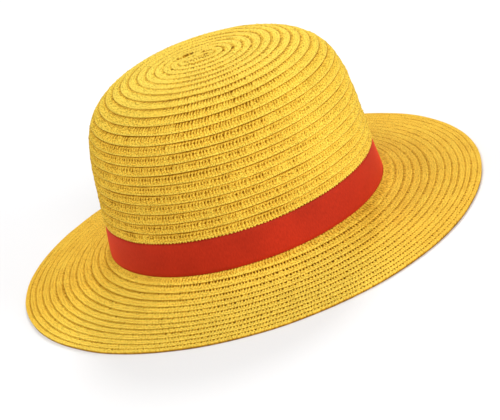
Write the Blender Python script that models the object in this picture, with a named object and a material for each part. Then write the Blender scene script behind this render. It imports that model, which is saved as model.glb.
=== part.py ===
"""Round-crowned hat of sewn straw braid with a plain ribbon, resting on its brim.

Lengths are in millimetres and become metres where the meshes are made. +Z is up with the floor at Z = 0,
and +X runs along the long side of the oval crown. A section is a list of (radius, height) points. It is
spun round Z and then shaped to the oval, the lean and the brim's outline.
"""

import math
from collections import namedtuple

import bmesh
import bpy

MM = 0.001
TURN_STEPS = 48

# Straw
WALL = 2.2
ROW_STEP = 0.7
CROWN_ROW_PITCH = 6.7
BRIM_ROW_PITCH = 5.3

# Brim
BRIM_RADIUS = 163.0
BRIM_DROP = 15.8
REST_RING_WIDTH = 4.0
EDGE_SLANT = 0.4

# Crown
CROWN_RADIUS = 93.7
CROWN_HEIGHT = 91.9
CROWN_OVAL = 3.05
CROWN_LEAN = 0.034
OVAL_FADE_RADIUS = 14.0

# Collar of the brim, inside the foot of the crown
COLLAR_HEIGHT = 8.0
COLLAR_WALL = 1.8
COLLAR_TURN = 1.5

# Ribbon
BAND_WIDTH = 23.8
BAND_THICKNESS = 1.0
BAND_FOOT_RADIUS = 96.0
BAND_TOP_RADIUS = 93.2

# Outline of the brim's edge, away from a true oval
EDGE_TWIST = 3.1
EDGE_LOBE = 1.7
EDGE_SHIFT = 0.9

CLEARANCE = 0.3

# Heights above the floor
BAND_FOOT = WALL + BRIM_DROP
BAND_TOP = BAND_FOOT + BAND_WIDTH
SHELF = BAND_FOOT - CLEARANCE
CROWN_EDGE = BAND_TOP + CLEARANCE

CrownRow = namedtuple("CrownRow", "height_share radius_share")
CROWN_SECTION = (
    CrownRow(0.000, 1.000),
    CrownRow(0.200, 0.984),
    CrownRow(0.400, 0.967),
    CrownRow(0.600, 0.934),
    CrownRow(0.750, 0.877),
    CrownRow(0.870, 0.757),
    CrownRow(0.950, 0.593),
    CrownRow(0.986, 0.300),
    CrownRow(1.000, 0.000),
)

BrimRow = namedtuple("BrimRow", "out_share drop_share")
BRIM_SECTION = (
    BrimRow(0.00, 0.000),
    BrimRow(0.07, 0.150),
    BrimRow(0.14, 0.283),
    BrimRow(0.29, 0.491),
    BrimRow(0.45, 0.638),
    BrimRow(0.60, 0.751),
    BrimRow(0.76, 0.852),
    BrimRow(1.00, 1.000),
)

LINE_STEPS = 12


def smooth_line(points):
    """A finely stepped line through the points, each bend shared between its two chords."""
    chords = [math.dist(p, q) for p, q in zip(points, points[1:])]
    slopes = [[(b - a) / c for a, b in zip(p, q)] for p, q, c in zip(points, points[1:], chords)]
    tangents = [slopes[0]]
    for before, after, c0, c1 in zip(slopes, slopes[1:], chords, chords[1:]):
        tangents.append([(a * c1 + b * c0) / (c0 + c1) for a, b in zip(before, after)])
    tangents.append(slopes[-1])
    line = [tuple(points[0])]
    for i, chord in enumerate(chords):
        for step in range(1, LINE_STEPS + 1):
            t = step / LINE_STEPS
            start, end = 2 * t**3 - 3 * t**2 + 1, 3 * t**2 - 2 * t**3
            leave, arrive = (t**3 - 2 * t**2 + t) * chord, (t**3 - t**2) * chord
            line.append(tuple(
                start * p + end * q + leave * u + arrive * v
                for p, q, u, v in zip(points[i], points[i + 1], tangents[i], tangents[i + 1])
            ))
    return line


def length_of(line):
    return sum(math.dist(p, q) for p, q in zip(line, line[1:]))


def point_at(line, distance, depth=0.0):
    """The point this far along a line that runs outwards and down, sunk below it by depth."""
    for p, q in zip(line, line[1:]):
        step = math.dist(p, q)
        if distance <= step or q is line[-1]:
            share = distance / step
            out, up = (q[0] - p[0]) / step, (q[1] - p[1]) / step
            return (p[0] + share * (q[0] - p[0]) + up * depth, p[1] + share * (q[1] - p[1]) - out * depth)
        distance -= step


def row_ends(line, pitch):
    """Distances along the line where each row of braid ends, spread evenly."""
    count = max(1, round(length_of(line) / pitch))
    return [length_of(line) * i / count for i in range(1, count + 1)]


def shingled(line, pitch):
    """The outer side of the rows: each one rises to its lip, then steps down to the row under it."""
    points = []
    for end in row_ends(line, pitch):
        points.append(point_at(line, end))
        points.append(point_at(line, end, ROW_STEP))
    return points[:-1]


def crown_line():
    """The crown's outer line from the tip down to its lowest row, just above the ribbon."""
    points = [
        (CROWN_RADIUS * row.radius_share, CROWN_EDGE + (CROWN_HEIGHT - CLEARANCE) * row.height_share)
        for row in reversed(CROWN_SECTION)
    ]
    mirrored = (-points[1][0], points[1][1])
    return smooth_line([mirrored] + points)[LINE_STEPS:]


def brim_line():
    """The brim's top line from the ribbon's lower edge out to the brim's edge."""
    width = BRIM_RADIUS - BAND_FOOT_RADIUS
    return smooth_line([
        (BAND_FOOT_RADIUS + width * row.out_share, SHELF - (SHELF - WALL) * row.drop_share)
        for row in BRIM_SECTION
    ])


def band_radius(height):
    """The ribbon's outer radius: a cone that widens towards the brim."""
    share = (height - BAND_FOOT) / BAND_WIDTH
    return BAND_FOOT_RADIUS + (BAND_TOP_RADIUS - BAND_FOOT_RADIUS) * share


def seat_radius(height):
    """The crown's outer radius behind the ribbon."""
    return band_radius(height) - BAND_THICKNESS - CLEARANCE


def collar_radius(height):
    """The collar's outer radius, inside the crown's foot."""
    return seat_radius(height) - WALL - CLEARANCE


def crown_section():
    line = crown_line()
    outer = [line[0]] + shingled(line, CROWN_ROW_PITCH)
    seat = [
        (seat_radius(CROWN_EDGE), CROWN_EDGE),
        (seat_radius(BAND_FOOT), BAND_FOOT),
        (seat_radius(BAND_FOOT) - WALL, BAND_FOOT),
        (seat_radius(BAND_TOP - WALL) - WALL, BAND_TOP - WALL),
    ]
    inner = [point_at(line, end, WALL) for end in row_ends(line, 2 * CROWN_ROW_PITCH)[:-1]]
    return outer + seat + inner[::-1] + [(0.0, line[0][1] - WALL)]


def brim_section():
    line = brim_line()
    collar_top = SHELF + COLLAR_HEIGHT
    collar = [
        (collar_radius(collar_top), collar_top),
        (collar_radius(SHELF), SHELF),
        (BAND_FOOT_RADIUS, SHELF),
    ]
    edge = [
        (BRIM_RADIUS - EDGE_SLANT, 0.0),
        (BRIM_RADIUS - REST_RING_WIDTH, 0.0),
    ]
    inner_ends = row_ends(line, 2 * BRIM_ROW_PITCH)[:-1]
    under = [point_at(line, end, WALL) for end in inner_ends]
    throat = [
        (collar_radius(SHELF) - COLLAR_WALL + COLLAR_TURN, SHELF - WALL),
        (collar_radius(SHELF) - COLLAR_WALL, SHELF - WALL + COLLAR_TURN),
        (collar_radius(collar_top) - COLLAR_WALL, collar_top),
    ]
    return collar + shingled(line, BRIM_ROW_PITCH) + edge + under[::-1] + throat


def band_section():
    return [
        (BAND_TOP_RADIUS - BAND_THICKNESS, BAND_TOP),
        (BAND_TOP_RADIUS, BAND_TOP),
        (BAND_FOOT_RADIUS, BAND_FOOT),
        (BAND_FOOT_RADIUS - BAND_THICKNESS, BAND_FOOT),
    ]


def shaped(radius, height, angle):
    """Moves a point of the round form to the oval, leaning crown and the brim's uneven edge."""
    out = max(0.0, (radius - BAND_FOOT_RADIUS) / (BRIM_RADIUS - BAND_FOOT_RADIUS))
    oval = CROWN_OVAL * min(1.0, radius / OVAL_FADE_RADIUS)
    wave = out * (EDGE_TWIST * math.sin(2 * angle) - EDGE_LOBE * math.cos(3 * angle))
    lean = CROWN_LEAN * max(0.0, height - BAND_FOOT)
    x = (radius + oval + wave) * math.cos(angle) + lean + out * EDGE_SHIFT
    y = (radius - oval + wave) * math.sin(angle)
    return x, y


def edge_centre():
    """The middle of the brim's outline, which the frame is centred on."""
    angles = [math.tau * i / TURN_STEPS for i in range(TURN_STEPS)]
    xs, ys = zip(*[shaped(BRIM_RADIUS, WALL, angle) for angle in angles])
    return (min(xs) + max(xs)) / 2, (min(ys) + max(ys)) / 2


def straw_material():
    return plain_material("straw", (0.86, 0.62, 0.10, 1.0), 0.75)


def ribbon_material():
    return plain_material("ribbon", (0.60, 0.03, 0.015, 1.0), 0.5)


def plain_material(name, colour, roughness):
    material = bpy.data.materials.new(name)
    material.use_nodes = True
    shader = material.node_tree.nodes["Principled BSDF"]
    shader.inputs["Base Color"].default_value = colour
    shader.inputs["Roughness"].default_value = roughness
    shader.inputs["Metallic"].default_value = 0.0
    return material


def spun_piece(name, section, closed, material, collection):
    """Spins a section round Z, shapes it and adds it as one closed solid."""
    bm = bmesh.new()
    verts = [bm.verts.new((radius, 0.0, height)) for radius, height in section]
    ends = zip(verts, verts[1:] + verts[:1]) if closed else zip(verts, verts[1:])
    edges = [bm.edges.new(pair) for pair in ends]
    turn = dict(cent=(0, 0, 0), axis=(0, 0, 1), angle=math.tau, steps=TURN_STEPS, use_merge=True)
    bmesh.ops.spin(bm, geom=verts + edges, **turn)
    bmesh.ops.remove_doubles(bm, verts=bm.verts, dist=0.001)
    centre_x, centre_y = edge_centre()
    for vert in bm.verts:
        radius = math.hypot(vert.co.x, vert.co.y)
        x, y = shaped(radius, vert.co.z, math.atan2(vert.co.y, vert.co.x))
        vert.co = ((x - centre_x) * MM, (y - centre_y) * MM, vert.co.z * MM)
    bmesh.ops.recalc_face_normals(bm, faces=bm.faces)
    mesh = bpy.data.meshes.new(name)
    bm.to_mesh(mesh)
    bm.free()
    mesh.materials.append(material)
    mesh.shade_smooth()
    mesh.set_sharp_from_angle(angle=math.radians(40))
    piece = bpy.data.objects.new(name, mesh)
    collection.objects.link(piece)
    return piece


def build():
    for old in list(bpy.data.objects):
        bpy.data.objects.remove(old)
    collection = bpy.data.collections.new("straw_hat")
    bpy.context.scene.collection.children.link(collection)
    straw = straw_material()
    spun_piece("crown", crown_section(), False, straw, collection)
    spun_piece("brim", brim_section(), True, straw, collection)
    spun_piece("hat_band", band_section(), True, ribbon_material(), collection)


build()
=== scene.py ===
"""Dresses the straw hat: braid sewn in a spiral over the crown and the brim, and a woven ribbon.

Lengths are in millimetres up to the point where a mesh is made, and the values and functions that give the
form are those of the part's source. A surface has a line of (radius, height) points, which is spun round Z
and then shaped. Each row of braid covers the upper edge of the row under it.
"""

import math
from collections import namedtuple

import bpy
import numpy as np
from mathutils import Matrix, Vector


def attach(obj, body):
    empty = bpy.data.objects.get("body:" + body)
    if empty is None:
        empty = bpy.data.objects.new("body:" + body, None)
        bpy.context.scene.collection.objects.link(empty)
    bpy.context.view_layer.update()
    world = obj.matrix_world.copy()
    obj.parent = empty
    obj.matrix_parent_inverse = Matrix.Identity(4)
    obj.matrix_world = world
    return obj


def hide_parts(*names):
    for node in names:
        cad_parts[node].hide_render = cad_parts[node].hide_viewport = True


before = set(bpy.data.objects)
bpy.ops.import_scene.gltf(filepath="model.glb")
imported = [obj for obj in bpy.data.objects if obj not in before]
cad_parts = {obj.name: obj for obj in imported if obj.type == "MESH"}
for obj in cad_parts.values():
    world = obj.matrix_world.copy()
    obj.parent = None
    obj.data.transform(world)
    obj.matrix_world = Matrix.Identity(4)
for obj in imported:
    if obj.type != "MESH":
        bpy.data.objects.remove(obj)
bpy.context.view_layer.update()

MM = 0.001

# The form, as in the part's source
WALL = 2.2
BRIM_RADIUS = 163.0
BRIM_DROP = 15.8
CROWN_RADIUS = 93.7
CROWN_HEIGHT = 91.9
CROWN_OVAL = 3.05
CROWN_LEAN = 0.034
BAND_WIDTH = 23.8
BAND_THICKNESS = 1.0
BAND_FOOT_RADIUS = 96.0
BAND_TOP_RADIUS = 93.2
EDGE_TWIST = 3.1
EDGE_LOBE = 1.7
EDGE_SHIFT = 0.9
CLEARANCE = 0.3
BAND_FOOT = WALL + BRIM_DROP
BAND_TOP = BAND_FOOT + BAND_WIDTH
SHELF = BAND_FOOT - CLEARANCE
CROWN_EDGE = BAND_TOP + CLEARANCE
LINE_STEPS = 12

# (height share, radius share)
CROWN_SECTION = (
    (0.000, 1.000), (0.200, 0.984), (0.400, 0.967), (0.600, 0.934), (0.750, 0.877),
    (0.870, 0.757), (0.950, 0.593), (0.986, 0.300), (1.000, 0.000),
)
# (share of the way out, share of the drop)
BRIM_SECTION = (
    (0.00, 0.000), (0.07, 0.150), (0.14, 0.283), (0.29, 0.491),
    (0.45, 0.638), (0.60, 0.751), (0.76, 0.852), (1.00, 1.000),
)

# The braid
STITCH = 2.3
COLUMNS_PER_STITCH = 4
SPIRAL_START = math.radians(90)
CROWN_TURNS = 23.5
LEVEL_ROWS = 4.0
LEVEL_FROM = 0.18
TIP_HALF_LENGTH = 7.5
TIP_SHIFT = 3.0
# The sides round which relief and painted shade change: the crown's lit right side and the dome's flat left have
# shallower stitches and less painted shade in their gaps, and the brim's open front has the most
CROWN_TIGHT_LIT_SIDE = math.radians(-10)
DOME_FLAT_SIDE = math.radians(170)
BRIM_OPEN_SIDE = math.radians(-110)

random = np.random.default_rng(7)


def smooth_line(points):
    """A finely stepped line through the points, each bend shared between its two chords."""
    chords = [math.dist(p, q) for p, q in zip(points, points[1:])]
    slopes = [[(b - a) / c for a, b in zip(p, q)] for p, q, c in zip(points, points[1:], chords)]
    tangents = [slopes[0]]
    for before, after, c0, c1 in zip(slopes, slopes[1:], chords, chords[1:]):
        tangents.append([(a * c1 + b * c0) / (c0 + c1) for a, b in zip(before, after)])
    tangents.append(slopes[-1])
    line = [tuple(points[0])]
    for i, chord in enumerate(chords):
        for step in range(1, LINE_STEPS + 1):
            t = step / LINE_STEPS
            start, end = 2 * t**3 - 3 * t**2 + 1, 3 * t**2 - 2 * t**3
            leave, arrive = (t**3 - 2 * t**2 + t) * chord, (t**3 - t**2) * chord
            line.append(tuple(
                start * p + end * q + leave * u + arrive * v
                for p, q, u, v in zip(points[i], points[i + 1], tangents[i], tangents[i + 1])
            ))
    return line


class Line:
    """A line that runs outwards and down, read by the distance along it."""

    def __init__(self, points):
        p = np.array(points)
        step = np.hypot(*np.diff(p, axis=0).T)
        self.s = np.concatenate([[0], np.cumsum(step)])
        self.length = self.s[-1]
        self.p = p
        slope = np.gradient(p, self.s, axis=0)
        self.slope = slope / np.hypot(slope[:, 0], slope[:, 1])[:, None]

    def at(self, s, rise):
        """Radius and height at each distance s, lifted off the line by rise."""
        past = np.clip(s, 0, self.length)
        over = s - past
        out = np.interp(past, self.s, self.slope[:, 0])
        up = np.interp(past, self.s, self.slope[:, 1])
        radius = np.interp(past, self.s, self.p[:, 0]) + over * out - rise * up
        height = np.interp(past, self.s, self.p[:, 1]) + over * up + rise * out
        return radius, height


def crown_line():
    points = [
        (CROWN_RADIUS * share, CROWN_EDGE + (CROWN_HEIGHT - CLEARANCE) * up)
        for up, share in reversed(CROWN_SECTION)
    ]
    mirrored = (-points[1][0], points[1][1])
    return Line(smooth_line([mirrored] + points)[LINE_STEPS:])


def brim_line():
    width = BRIM_RADIUS - BAND_FOOT_RADIUS
    return Line(smooth_line([
        (BAND_FOOT_RADIUS + width * out, SHELF - (SHELF - WALL) * drop) for out, drop in BRIM_SECTION
    ]))


def shaped(radius, height, angle):
    """Moves a point of the round form to the oval, leaning crown and the brim's uneven edge."""
    out = np.maximum(0.0, (radius - BAND_FOOT_RADIUS) / (BRIM_RADIUS - BAND_FOOT_RADIUS))
    wave = out * (EDGE_TWIST * np.sin(2 * angle) - EDGE_LOBE * np.cos(3 * angle))
    lean = CROWN_LEAN * np.maximum(0.0, height - BAND_FOOT)
    x = (radius + CROWN_OVAL + wave) * np.cos(angle) + lean + out * EDGE_SHIFT
    y = (radius - CROWN_OVAL + wave) * np.sin(angle)
    return x, y


def edge_centre():
    """The middle of the brim's outline, which the frame is centred on."""
    angles = np.arange(48) * math.tau / 48
    x, y = shaped(np.full(48, BRIM_RADIUS), WALL, angles)
    return (x.min() + x.max()) / 2, (y.min() + y.max()) / 2


CENTRE_X, CENTRE_Y = edge_centre()
CROWN = crown_line()
BRIM = brim_line()


def crown_place(s, angle, rise):
    """Where a point of the crown lies. The first turns go round a short straight start, not a dot."""
    radius, height = CROWN.at(s, rise)
    near = np.exp(-np.maximum(radius, 0) / 20.0)
    tight = 0.2 + 2.8 * near
    half = 2 * CROWN_OVAL + (TIP_HALF_LENGTH - 2 * CROWN_OVAL) * near
    inner = radius - CROWN_OVAL * (1 - np.exp(-np.maximum(radius, 0) / 14.0))
    stretch = half * np.tanh(tight * np.cos(angle)) / np.tanh(tight)
    lean = CROWN_LEAN * np.maximum(0.0, height - BAND_FOOT)
    x = inner * np.cos(angle) + stretch + lean - TIP_SHIFT * near
    y = inner * np.sin(angle)
    return np.stack([x - CENTRE_X, y - CENTRE_Y, height], -1)


def brim_place(s, angle, rise):
    radius, height = BRIM.at(s, rise)
    x, y = shaped(radius, height, angle)
    return np.stack([x - CENTRE_X, y - CENTRE_Y, height], -1)


def smooth(t):
    t = np.clip(t, 0, 1)
    return t * t * (3 - 2 * t)


def turn_share(turn, last):
    """Turns of the spiral, with the last rows level round the front and stepping down at the back."""
    row, t = np.floor(turn), turn - np.floor(turn)
    level = 0.5 * smooth(t / LEVEL_FROM) + 0.5 * smooth((t - 1 + LEVEL_FROM) / LEVEL_FROM)
    share = smooth((row - (last - LEVEL_ROWS)) / (LEVEL_ROWS - 1))
    return row + t + (level - t) * share


CROWN_PITCH = CROWN.length / CROWN_TURNS


def crown_lip(turn):
    return np.clip(CROWN_PITCH * turn_share(turn, math.floor(CROWN_TURNS)), 0, CROWN.length)


BRIM_PITCH = 5.4
BRIM_LIP_START = 6.5
BRIM_LIP_EASE = 0.087


def brim_lip(turn):
    t = turn_share(turn, 12) + 0.5
    return np.clip(BRIM_LIP_START * t - BRIM_LIP_EASE * t * t, -3.0, BRIM.length)


def wander(distance, step, amount):
    """A smooth random value along the braid: a new one every step, with this spread."""
    knots = random.normal(0, amount, int(distance[-1] / step) + 3)
    place = distance / step
    i = place.astype(int)
    return knots[i] + (knots[i + 1] - knots[i]) * smooth(place - i)


# One point of a row's section. across is the share of the exposed width, from the lip above to this row's
# own, and negative where the row is tucked under the one above. rise is off the surface. ridge and pit are
# how strongly the stitches lift or sink it, lead is how far they run ahead there, in stitches, and shade and
# dash are painted shade in the gap's colour, all along or between stitches: painted shade under the lip above
# and in the stitch holes, and a lower value on the lip itself for its painted highlight.
P = namedtuple("P", "across rise ridge pit lead shade dash")
CROWN_ROW = (
    P(-0.25, -1.70, 0.0, 0.0, 0.50, 1.0, 0.0),
    P(0.02, -0.54, 0.1, 0.0, 0.50, 0.60, 0.25),
    P(0.10, -0.40, 0.2, 0.1, 0.40, 0.20, 0.15),
    P(0.20, -0.32, 0.4, 0.2, 0.28, 0.08, 0.2),
    P(0.31, -0.27, 1.0, 0.9, 0.12, 0.08, 0.82),
    P(0.42, -0.22, 1.0, 0.8, 0.00, 0.08, 0.74),
    P(0.54, -0.15, 0.7, 0.3, 0.03, 0.07, 0.2),
    P(0.75, -0.08, 0.4, 0.2, 0.12, 0.12, 0.15),
    P(0.90, 0.14, 0.10, 0.0, 0.20, 0.0, 0.0),
    P(0.99, -0.16, 0.15, 0.2, 0.30, 0.06, 0.15),
    P(0.96, -1.00, 0.0, 0.0, 0.30, 0.8, 0.0),
    P(0.60, -1.50, 0.2, 0.0, 0.20, 0.0, 0.0),
    P(0.10, -1.95, 0.2, 0.0, 0.40, 0.0, 0.2),
)
BRIM_ROW = (
    P(-0.25, -1.50, 0.0, 0.0, 0.40, 1.0, 0.0),
    P(0.01, -0.22, 0.7, 0.9, 0.40, 0.03, 2.6),
    P(0.18, -0.16, 0.7, 1.0, 0.36, 0.01, 3.0),
    P(0.30, -0.16, 0.7, 0.4, 0.30, 0.01, 0.4),
    P(0.42, -0.15, 0.5, 0.2, 0.16, 0.0, 0.05),
    P(0.62, -0.10, 0.4, 0.4, 0.02, 0.01, 0.4),
    P(0.82, -0.02, 0.12, 0.0, 0.10, 0.02, 0.0),
    P(0.95, 0.02, 0.1, 0.0, 0.20, 0.0, 0.0),
    P(1.00, -0.24, 0.2, 0.0, 0.30, 0.10, 0.0),
    P(0.95, -1.60, 0.0, 0.0, 0.30, 0.6, 0.0),
    P(0.50, -1.98, 0.2, 0.0, 0.20, 0.0, 0.0),
    P(0.05, -2.18, 0.2, 0.0, 0.40, 0.0, 0.2),
)


# The painted shade in the gap between stitches, along the same points on the dome, where it runs close to the lip
DOME_DASH = (0.0, 2.8, 2.8, 1.7, 0.50, 0.0, 0.0, 0.1, 0.0, 0.3, 0.0, 0.0, 0.0)


def spiral(place, lip, turns, first_start, pitch, section, ridge, pit, narrow, uneven, tight_side):
    """The points of one long braid, its gap shade and its own coordinates: arrays of columns by section."""
    fine = np.linspace(0.0, turns, int(turns * 180))
    path = place(lip(fine), SPIRAL_START + math.tau * fine, 0.0)
    along = np.concatenate([[0], np.cumsum(np.linalg.norm(np.diff(path, axis=0), axis=1))])
    stitches = int(along[-1] / STITCH)
    column = np.arange(stitches * COLUMNS_PER_STITCH + 1)
    ends = np.concatenate([[0], np.cumsum(np.clip(random.normal(1.0, 0.12, stitches), 0.7, 1.3))])
    distance = np.interp(column / COLUMNS_PER_STITCH, np.arange(stitches + 1), ends * along[-1] / ends[-1])
    turn = np.interp(distance, along, fine)
    stitch = np.minimum(column // COLUMNS_PER_STITCH, stitches - 1)
    phase = (column % COLUMNS_PER_STITCH / COLUMNS_PER_STITCH)[:, None]
    lift = np.clip(random.normal(1.0, 0.25, stitches), 0.4, 1.6)[stitch][:, None]
    deep = np.clip(random.normal(0.9, uneven, stitches), 0.2, 1.6)[stitch][:, None]
    sway = random.normal(0.0, 0.08, stitches)[stitch][:, None]
    shift = wander(distance, 26.0, 0.16)[:, None]
    swell = wander(distance, 17.0, 0.09)[:, None]

    across, rise, ridges, pits, leads, shades, dashes = (np.array(c)[None, :] for c in zip(*section))
    end = lip(turn)[:, None]
    start = np.where(turn < 1, first_start, lip(turn - 1))[:, None]
    exposed = end - start
    s = start + np.where(across < 0, across * pitch, across * exposed)
    cover = smooth(exposed / 3.0)
    turned = np.cos(math.tau * (phase - leads + sway))
    between = (0.5 - 0.5 * turned) ** narrow
    face = (across > 0) & (rise > -0.95)
    angle = SPIRAL_START + math.tau * turn[:, None] + 0 * s
    tight = smooth((np.cos(angle - tight_side) - 0.35) / 0.4)
    firm = 1.0
    if place is crown_place:
        # On the crown's lit right side (tight) the painted shade in the stitch gaps is weaker, standing for holes
        # the lamp reaches, with shallower pits and relief; the dome gets less painted shade under its lips
        dashes = dashes * (1.0 - 0.45 * tight)
        pits = pits * (1.0 - 0.5 * tight)
        dome = smooth((100.0 - s) / 45.0)
        flat = smooth((np.cos(angle - DOME_FLAT_SIDE) - 0.2) / 0.5) * dome
        firm = (0.45 + 0.55 * smooth((s - 8.0) / 60.0)) * (1.0 - 0.4 * tight - 0.4 * flat)
        shades = shades * (1.0 - 0.6 * dome)
        dashes = dashes + (np.array(DOME_DASH)[None, :] * (1.0 - 0.6 * tight - 0.55 * flat) - dashes) * dome
    else:
        front = smooth((np.cos(angle - tight_side) - 0.35) / 0.45)
        near = np.exp(-np.maximum(s, 0) / 18.0)
        base = 0.47 - 0.15 * np.cos(angle)
        # loose scales the stitches' relief and the painted shade in their holes: most at the open front, less
        # beside the ribbon
        loose = (base + (1.0 - base) * front) * (1.0 - 0.4 * near)
        # Painted shade on the brim's back and sides, which the lamps light more than its front, and a painted
        # reflection of the red ribbon, warmer and darker, beside it
        shades = shades + (0.12 * (1.0 - front) + 0.05 * near) * face
        # Painted shade in the gap line under each lip, darker at the front
        shades = shades + 0.25 * front * ((across > 0) & (across < 0.1))
        dashes, pits, ridges = dashes * loose, pits * loose, ridges * loose
    h =np.where(face, rise * firm, rise) + ridge * ridges * lift * turned - pit * pits * deep * between * firm
    tip_hole_shade = 0.0
    if place is crown_place:
        tip = smooth(1.0 - s / 40.0)
        swell = swell * (1.0 + 2.5 * tip) + 0.9 * (lift - 1.0) * tip
        # Painted shade in the holes of random stitches near the tip
        tip_hole_shade = 3.0 * np.clip(deep - 1.1, 0, 1) * tip * ((across > 0) & (across < 0.3))
        hem = smooth((s - CROWN.length + 1.5) / 1.0) * ((across > 0.8) & (rise > -0.5))
        s = s + 0.45 * hem * turned
    h = h - 1.2 * (1 - cover) + swell * face
    if place is brim_place:
        h = h - 0.85 * smooth((s - BRIM.length + 5.0) / 4.0) * ((rise < -0.95) & (across > 0.4))
    s = s + shift * (across > 0.5) + 0.15 * ridges * turned * (across >= 1)
    points = place(s, angle, h)
    if place is brim_place:
        points[..., 2] = np.maximum(points[..., 2], 0.0)
    # How strong the painted shade is wanders slowly along the braid
    gap_shade_wander = 1.0 + wander(distance, 9.0, 0.12)[:, None]
    if place is brim_place:
        dashes = dashes + 0.35 * (turn[:, None] < 1.0) * ((across > 0.3) & (across < 0.7))
    # The gap attribute: painted shade under the lips and in the stitch holes, lowest on the lips for their
    # painted highlight
    shade = np.clip((shades * firm + dashes * deep * between + tip_hole_shade) * gap_shade_wander, 0, 1)
    own = np.stack([distance[:, None] + 0 * s, across * pitch + 0 * s, stitch[:, None] + 0 * s], -1)
    return points, shade, own


def solid(name, points, shade, own, material, closed):
    """One closed solid from columns of section points: a strip with two ends, or a full ring."""
    columns, size = points.shape[:2]
    vertex = np.arange(columns * size).reshape(columns, size)
    if closed:
        vertex = np.concatenate([vertex, vertex[:1]])
    a, b = vertex[:-1], vertex[1:]
    quads = np.stack([a, np.roll(a, -1, 1), np.roll(b, -1, 1), b], -1).reshape(-1, 4)
    ends = [] if closed else [vertex[0][::-1], vertex[-1]]
    loops = np.concatenate([quads.ravel(), *ends])
    sizes = np.concatenate([np.full(len(quads), 4), [size] * len(ends)]).astype(np.int32)
    mesh = bpy.data.meshes.new(name)
    mesh.vertices.add(columns * size)
    mesh.vertices.foreach_set("co", (points * MM).astype(np.float32).ravel())
    mesh.loops.add(len(loops))
    mesh.loops.foreach_set("vertex_index", loops.astype(np.int32))
    mesh.polygons.add(len(sizes))
    mesh.polygons.foreach_set("loop_start", np.concatenate([[0], np.cumsum(sizes)[:-1]]).astype(np.int32))
    mesh.update(calc_edges=True)
    mesh.validate()
    mesh.attributes.new("gap", "FLOAT", "POINT").data.foreach_set("value", shade.astype(np.float32).ravel())
    coords = mesh.attributes.new("braid", "FLOAT_VECTOR", "POINT")
    coords.data.foreach_set("vector", own.astype(np.float32).ravel())
    mesh.shade_smooth()
    mesh.materials.append(material)
    piece = bpy.data.objects.new(name, mesh)
    bpy.context.scene.collection.objects.link(piece)
    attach(piece, "root")
    return piece


def node(tree, kind, inputs=(), **settings):
    """A new node with its settings, and its inputs set to a value or linked to another node's output."""
    made = tree.nodes.new(kind)
    for name, value in settings.items():
        setattr(made, name, value)
    for name, value in dict(inputs).items():
        if isinstance(value, bpy.types.NodeSocket):
            tree.links.new(value, made.inputs[name])
        else:
            made.inputs[name].default_value = value
    return made


def ramp(tree, fac, *stops):
    made = node(tree, "ShaderNodeValToRGB", {"Fac": fac})
    points = made.color_ramp.elements
    while len(points) < len(stops):
        points.new(0.5)
    for point, (place, colour) in zip(points, stops):
        point.position = place
        point.color = (*colour, 1.0)
    return made.outputs["Color"]


def mix(tree, fac, a, b, blend="MIX"):
    made = node(tree, "ShaderNodeMix", data_type="RGBA", blend_type=blend)
    for socket, value in ((made.inputs[0], fac), (made.inputs[6], a), (made.inputs[7], b)):
        if isinstance(value, bpy.types.NodeSocket):
            tree.links.new(value, socket)
        elif isinstance(value, tuple):
            socket.default_value = (*value, 1.0)
        else:
            socket.default_value = value
    return made.outputs[2]


def straw_material():
    material = bpy.data.materials.new("straw_braid")
    material.use_nodes = True
    tree = material.node_tree
    shader = tree.nodes["Principled BSDF"]
    shader.inputs["Roughness"].default_value = 0.7
    shader.inputs["Specular IOR Level"].default_value = 0.04
    braid = node(tree, "ShaderNodeAttribute", attribute_name="braid").outputs["Vector"]
    gap = node(tree, "ShaderNodeAttribute", attribute_name="gap").outputs["Fac"]
    strands = node(tree, "ShaderNodeVectorMath", {0: braid, 1: (0.5, 3.2, 0.37)}, operation="MULTIPLY")
    fibre = node(tree, "ShaderNodeTexNoise", {"Vector": strands.outputs[0], "Scale": 1.0, "Detail": 3.0})
    place = node(tree, "ShaderNodeTexCoord").outputs["Object"]
    patch = node(tree, "ShaderNodeTexNoise", {"Vector": place, "Scale": 38.0, "Detail": 2.0})
    cells = node(tree, "ShaderNodeVectorMath", {0: braid, 1: (1.4, 1.1, 0.0)}, operation="MULTIPLY")
    speck = node(tree, "ShaderNodeTexNoise", {"Vector": cells.outputs[0], "Scale": 1.0, "Detail": 2.0})
    tone = ramp(tree, patch.outputs["Fac"], (0.35, (0.94, 0.94, 0.94)), (0.65, (1.0, 1.0, 1.0)))
    streak = ramp(tree, fibre.outputs["Fac"], (0.30, (0.80, 0.76, 0.68)), (0.62, (1.0, 1.0, 1.0)))
    fleck = ramp(tree, speck.outputs["Fac"], (0.40, (0.26, 0.20, 0.08)), (0.53, (1.0, 1.0, 1.0)))
    # The straw's own lemon yellow, which the gap attribute's painted shade turns orange and dark brown in the
    # gaps and under the lips; the lightest stop is the lips' painted highlight
    straw = ramp(
        tree, gap,
        (0.0, (0.99, 0.742, 0.116)), (0.06, (0.975, 0.675, 0.080)), (0.2, (0.88, 0.505, 0.048)),
        (0.5, (0.48, 0.225, 0.008)), (1.0, (0.15, 0.062, 0.001)),
    )
    colour = mix(tree, 1.0, straw, tone, "MULTIPLY")
    colour = mix(tree, 0.8, colour, streak, "MULTIPLY")
    colour = mix(tree, 0.7, colour, fleck, "MULTIPLY")
    tree.links.new(colour, shader.inputs["Base Color"])
    bump = node(
        tree, "ShaderNodeBump",
        {"Strength": 0.35, "Distance": 0.0002, "Height": fibre.outputs["Fac"]},
    )
    tree.links.new(bump.outputs["Normal"], shader.inputs["Normal"])
    return material


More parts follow.
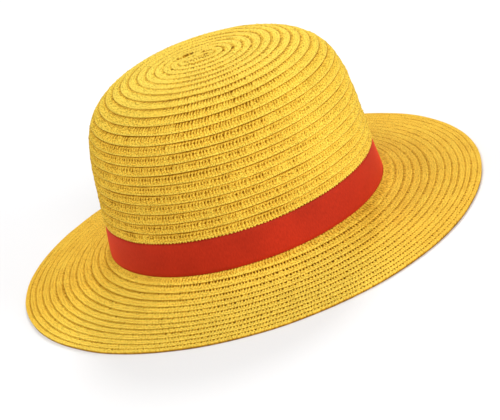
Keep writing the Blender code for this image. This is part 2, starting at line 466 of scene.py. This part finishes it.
def ribbon_material():
    material = bpy.data.materials.new("ribbon_weave")
    material.use_nodes = True
    tree = material.node_tree
    shader = tree.nodes["Principled BSDF"]
    shader.inputs["Roughness"].default_value = 0.6
    shader.inputs["Specular IOR Level"].default_value = 0.08
    braid = node(tree, "ShaderNodeAttribute", attribute_name="braid").outputs["Vector"]
    warp = node(tree, "ShaderNodeVectorMath", {0: braid, 1: (1.5, 0.35, 1.0)}, operation="MULTIPLY")
    thread = node(tree, "ShaderNodeTexNoise", {"Vector": warp.outputs[0], "Scale": 1.0, "Detail": 2.0})
    place = node(tree, "ShaderNodeTexCoord").outputs["Object"]
    patch = node(tree, "ShaderNodeTexNoise", {"Vector": place, "Scale": 30.0, "Detail": 2.0})
    tone = ramp(tree, patch.outputs["Fac"], (0.3, (0.38, 0.020, 0.006)), (0.7, (0.48, 0.026, 0.008)))
    grain = ramp(tree, thread.outputs["Fac"], (0.35, (0.78, 0.72, 0.72)), (0.65, (1.0, 1.0, 1.0)))
    tree.links.new(mix(tree, 0.8, tone, grain, "MULTIPLY"), shader.inputs["Base Color"])
    shader.inputs["Sheen Weight"].default_value = 0.7
    shader.inputs["Sheen Roughness"].default_value = 0.5
    shader.inputs["Sheen Tint"].default_value = (1.0, 0.09, 0.03, 1.0)
    bump = node(
        tree, "ShaderNodeBump",
        {"Strength": 0.3, "Distance": 0.0001, "Height": thread.outputs["Fac"]},
    )
    tree.links.new(bump.outputs["Normal"], shader.inputs["Normal"])
    return material


def plain_material(name, colour, roughness):
    material = bpy.data.materials.new(name)
    material.use_nodes = True
    shader = material.node_tree.nodes["Principled BSDF"]
    shader.inputs["Base Color"].default_value = (*colour, 1.0)
    shader.inputs["Roughness"].default_value = roughness
    return material


STRAW = straw_material()
RIBBON = ribbon_material()


def braid_pieces(names, node_name, parts):
    """Cuts the long braid into pieces of about the same length, which meet end to end."""
    points, shade, own = parts
    cuts = np.linspace(0, len(points) - 1, len(names) + 1).astype(int)
    for name, first, last in zip(names, cuts, cuts[1:]):
        part = slice(first, last + 1)
        piece = solid(name, points[part], shade[part], own[part], STRAW, False)
        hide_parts(node_name)


braid_pieces(
    ("crown_dome", "crown_shoulder", "crown_wall"), "crown",
    spiral(
        crown_place, crown_lip, CROWN_TURNS + 0.67, 0.0, CROWN_PITCH, CROWN_ROW, 0.5, 0.5, 2.8, 0.32,
        CROWN_TIGHT_LIT_SIDE,
    ),
)
braid_pieces(
    ("brim_inner", "brim_middle", "brim_outer"), "brim",
    spiral(brim_place, brim_lip, 13.2, -3.0, BRIM_PITCH, BRIM_ROW, 0.2, 1.4, 2.9, 0.16, BRIM_OPEN_SIDE),
)


def band_radius(height):
    """The ribbon's outer radius: a cone that widens towards the brim."""
    share = (height - BAND_FOOT) / BAND_WIDTH
    return BAND_FOOT_RADIUS + (BAND_TOP_RADIUS - BAND_FOOT_RADIUS) * share


RIBBON_THICKNESS = 0.6
LAP_LENGTH = 12.0
LAP_ANGLE = math.radians(90)


def ring(name, radii, heights, columns, material):
    """A closed ring from a section, radii as functions of the angle."""
    angle = np.arange(columns)[:, None] * math.tau / columns
    radius = np.stack([r + 0 * angle[:, 0] for r in radii], 1)
    height = np.stack([z + 0 * angle[:, 0] for z in heights], 1)
    x, y = shaped(radius, height, angle)
    points = np.stack([x - CENTRE_X, y - CENTRE_Y, height], -1)
    own = np.stack([radius * angle, height, 0 * height], -1)
    return solid(name, points, 0 * height, own, material, True)


def ribbon():
    """A strip of ribbon laid round the crown's foot, with its end lapped over its start at the back."""
    columns, steps = 500, 10
    lap = LAP_LENGTH / BAND_FOOT_RADIUS
    t = np.linspace(0.0, 1.0, columns)
    angle = LAP_ANGLE - lap / 2 + t * (math.tau + lap)
    waves = sum(random.normal(0, 0.10) * np.sin(k * angle + random.uniform(0, math.tau)) for k in range(3, 12))
    over = RIBBON_THICKNESS * 1.1 * smooth((t * (math.tau + lap) - math.tau) / lap * 4 + 1)
    face = np.arange(steps + 1) / steps
    share = np.concatenate([face[::-1], [0.0, 1.0]])
    outer = np.concatenate([np.ones(steps + 1), [0.0, 0.0]])
    edge = np.where((share == 0) | (share == 1), 0.10, 0.0) * outer
    height = BAND_FOOT + 0.1 + (BAND_WIDTH - 0.2) * share[None, :] + 0 * angle[:, None]
    belly = (0.12 * np.sin(math.pi * share) - edge - RIBBON_THICKNESS * (1 - outer))[None, :]
    drift = waves[:, None] * (0.4 + 0.6 * np.sin(math.pi * share))[None, :]
    radius = band_radius(height) - 0.1 + belly + drift + over[:, None]
    x, y = shaped(radius, height, angle[:, None])
    points = np.stack([x - CENTRE_X, y - CENTRE_Y, height], -1)
    own = np.stack([BAND_FOOT_RADIUS * angle[:, None] + 0 * height, height, 0 * height], -1)
    piece = solid("ribbon", points, 0 * height, own, RIBBON, False)
    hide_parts("hat_band")


def crown_foot():
    """The braid behind the ribbon, which shows only from inside the hat."""
    rows = 4
    outer = [(band_radius(z) - BAND_THICKNESS - CLEARANCE, z) for z in (BAND_FOOT - 1.0, CROWN_EDGE - 0.6)]
    inner = []
    pitch = (CROWN_EDGE - BAND_FOOT) / rows
    for i in range(rows):
        top = CROWN_EDGE - 0.2 - i * pitch
        inner.append((band_radius(top) - 2.5, top))
        inner.append((band_radius(top - pitch) - 3.3, top - pitch + 0.5))
    section = outer + inner
    radii, heights = zip(*section)
    piece = ring("crown_foot", radii, heights, 360, STRAW)
    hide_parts("crown")


crown_foot()
ribbon()


# The floor, the lights and the camera
def floor():
    mesh = bpy.data.meshes.new("floor")
    half = 14.0
    mesh.from_pydata([(-half, -half, 0), (half, -half, 0), (half, half, 0), (-half, half, 0)], [], [(0, 1, 2, 3)])
    mesh.materials.append(plain_material("floor_paint", (0.75, 0.75, 0.755), 0.9))
    made = bpy.data.objects.new("floor", mesh)
    bpy.context.scene.collection.objects.link(made)


def area_light(name, place, target, size, power, colour):
    light = bpy.data.lights.new(name, "AREA")
    light.shape = "DISK"
    light.size = size
    light.energy = power
    light.color = colour
    made = bpy.data.objects.new(name, light)
    made.location = place
    made.rotation_euler = (Vector(target) - Vector(place)).to_track_quat("-Z", "Y").to_euler()
    bpy.context.scene.collection.objects.link(made)


AIM = Vector((0.8, -0.03, 18.0)) * MM
DISTANCE = 1.83375
ELEVATION = math.radians(23.42)
ROLL = math.radians(-18.786)
FOCAL = 2649.6
FRAME = (500, 420)
AIM_PIXEL = (246.19, 206.69)
SENSOR = 36.0


def camera():
    data = bpy.data.cameras.new("camera")
    data.sensor_width = SENSOR
    data.lens = FOCAL / FRAME[0] * SENSOR
    data.clip_start, data.clip_end = 0.05, 50.0
    made = bpy.data.objects.new("camera", data)
    bpy.context.scene.collection.objects.link(made)
    back = Vector((0, -math.cos(ELEVATION), math.sin(ELEVATION)))
    look = (-back).to_track_quat("-Z", "Y")
    right = math.atan((FRAME[0] / 2 - AIM_PIXEL[0]) / FOCAL)
    down = math.atan((FRAME[1] / 2 - AIM_PIXEL[1]) / FOCAL)
    turn = look.to_matrix().to_4x4() @ Matrix.Rotation(ROLL, 4, "Z")
    turn = turn @ Matrix.Rotation(-right, 4, "Y") @ Matrix.Rotation(-down, 4, "X")
    made.matrix_world = Matrix.Translation(AIM + back * DISTANCE) @ turn
    bpy.context.scene.camera = made


floor()
area_light("right", (1.4, -0.9, 0.45), (0, 0, 0.03), 0.9, 13.7, (1.0, 1.0, 1.0))
area_light("front", (0.05, -1.3, 0.95), (0, 0, 0.03), 0.9, 10.6, (1.0, 1.0, 1.0))
area_light("top_left", (-0.8, 0.0, 1.5), (0, 0, 0.03), 0.8, 10.8, (1.0, 1.0, 1.0))
area_light("back", (0.32, 1.03, 1.0), (0, 0, 0.03), 0.35, 10.1, (1.0, 1.0, 1.0))
camera()

world = bpy.data.worlds.new("studio")
world.use_nodes = True
world.node_tree.nodes["Background"].inputs["Color"].default_value = (1.0, 1.0, 1.0, 1.0)
world.node_tree.nodes["Background"].inputs["Strength"].default_value = 0.44
bpy.context.scene.world = world
bpy.context.scene.view_settings.view_transform = "Standard"
